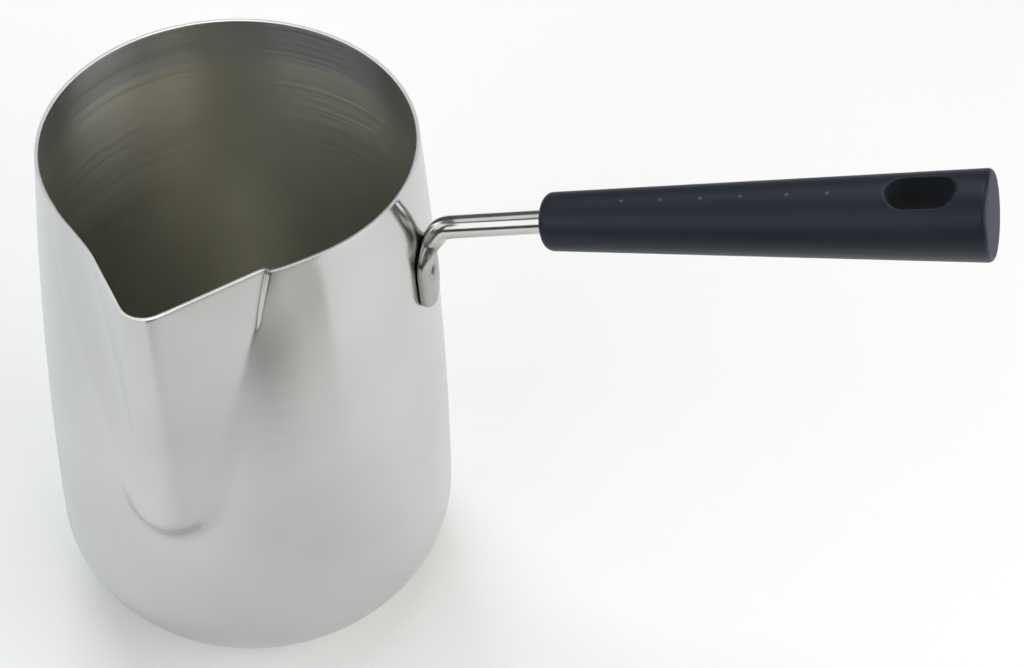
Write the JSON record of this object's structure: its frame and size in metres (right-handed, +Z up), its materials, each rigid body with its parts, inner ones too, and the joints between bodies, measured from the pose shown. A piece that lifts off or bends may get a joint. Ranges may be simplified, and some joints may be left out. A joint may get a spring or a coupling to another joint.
{
  "type": "wax melting pot",
  "caption": "Tall rounded steel pot with a pressed V pouring spout and a bent rod handle with a tapered plastic grip, for melting and pouring wax.",
  "frame": {"origin": "centre of the flat base, on the surface that the pot stands on", "axes": "+Z up along the pot's axis, +X towards the handle, -Y towards the spout"},
  "size_m": [0.2259, 0.1114, 0.1735],
  "materials": {
    "pot_steel": "polished outside, finely brushed inside",
    "rod_steel": "bright drawn",
    "weld_steel": "dull weld mark",
    "grip_plastic": "satin"
  },
  "bodies": {
    "root": {"pot_shell": "pot_steel", "handle_rod": "rod_steel", "spot_weld": "weld_steel", "grip": "grip_plastic"}
  },
  "joints": []
}
